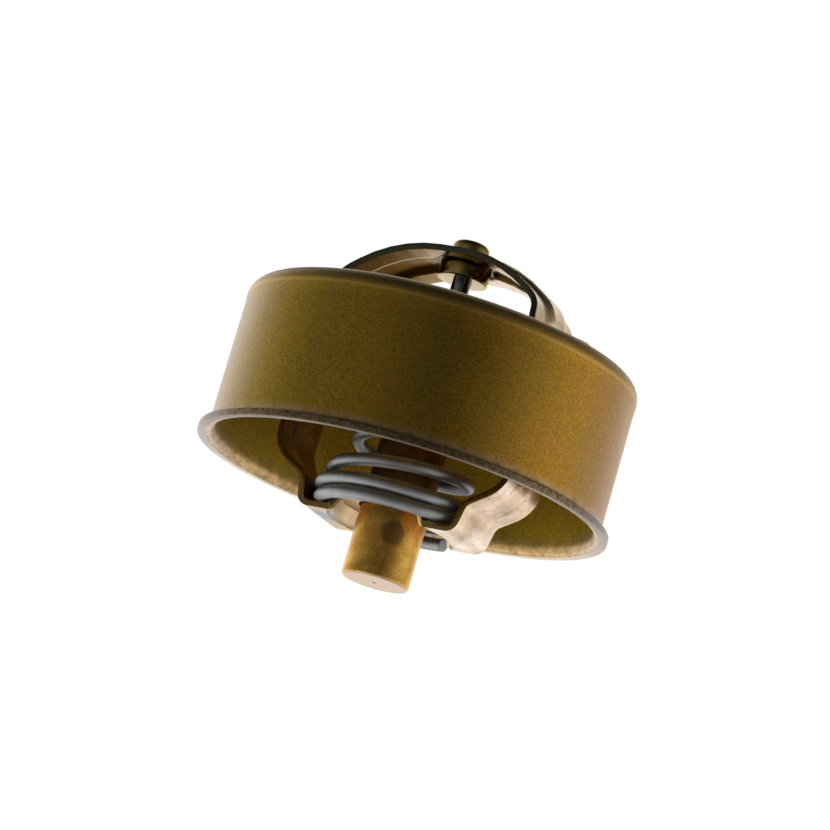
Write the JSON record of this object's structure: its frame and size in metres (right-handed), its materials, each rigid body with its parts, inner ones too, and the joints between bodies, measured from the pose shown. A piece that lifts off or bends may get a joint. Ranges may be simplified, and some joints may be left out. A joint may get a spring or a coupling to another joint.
{
  "type": "engine thermostat",
  "caption": "Wax-element engine coolant valve: deep flanged brass sleeve, arched bridge with a fixed piston, spring-loaded disc and a wax capsule below.",
  "frame": {"origin": "axis of the valve at the plane of the sleeve's open edge, under the lip", "axes": "+Z along the axis towards the piston's bridge, +X along the two bridges"},
  "size_m": [0.0666, 0.0664, 0.0567],
  "materials": {
    "drawn_brass": "deep-drawn and tarnished olive",
    "stamped_brass": "stamped, dull",
    "blasted_brass": "fine blasted, pinkish",
    "turned_brass": "turned",
    "cup_brass": "drawn, stained by heat",
    "ground_steel": "ground",
    "spring_steel": "satin wire",
    "black_rubber": "moulded",
    "hard_plastic": "matt",
    "wax": "copper-filled wax"
  },
  "bodies": {
    "housing": {"sleeve": "drawn_brass", "upper_bridge": "stamped_brass", "lower_bridge": "blasted_brass", "piston_plug": "turned_brass", "piston": "ground_steel", "coil_spring": "spring_steel", "bridge_rivet_1": "turned_brass", "bridge_rivet_2": "turned_brass", "bridge_rivet_3": "turned_brass", "bridge_rivet_4": "turned_brass"},
    "valve": {"capsule_cup": "cup_brass", "wax_charge": "wax", "rubber_boot": "black_rubber", "backup_washer": "hard_plastic", "capsule_guide": "turned_brass", "valve_disc": "stamped_brass", "valve_lock_ring": "spring_steel"}
  },
  "joints": [
    {"name": "valve_slide", "type": "slide", "parent": "housing", "child": "valve", "axis": [0, 0, -1], "range_m": [0, 0.0085], "stiffness_N_per_m": 4000, "springref_m": -0.01, "deforming": ["coil_spring"]}
  ]
}
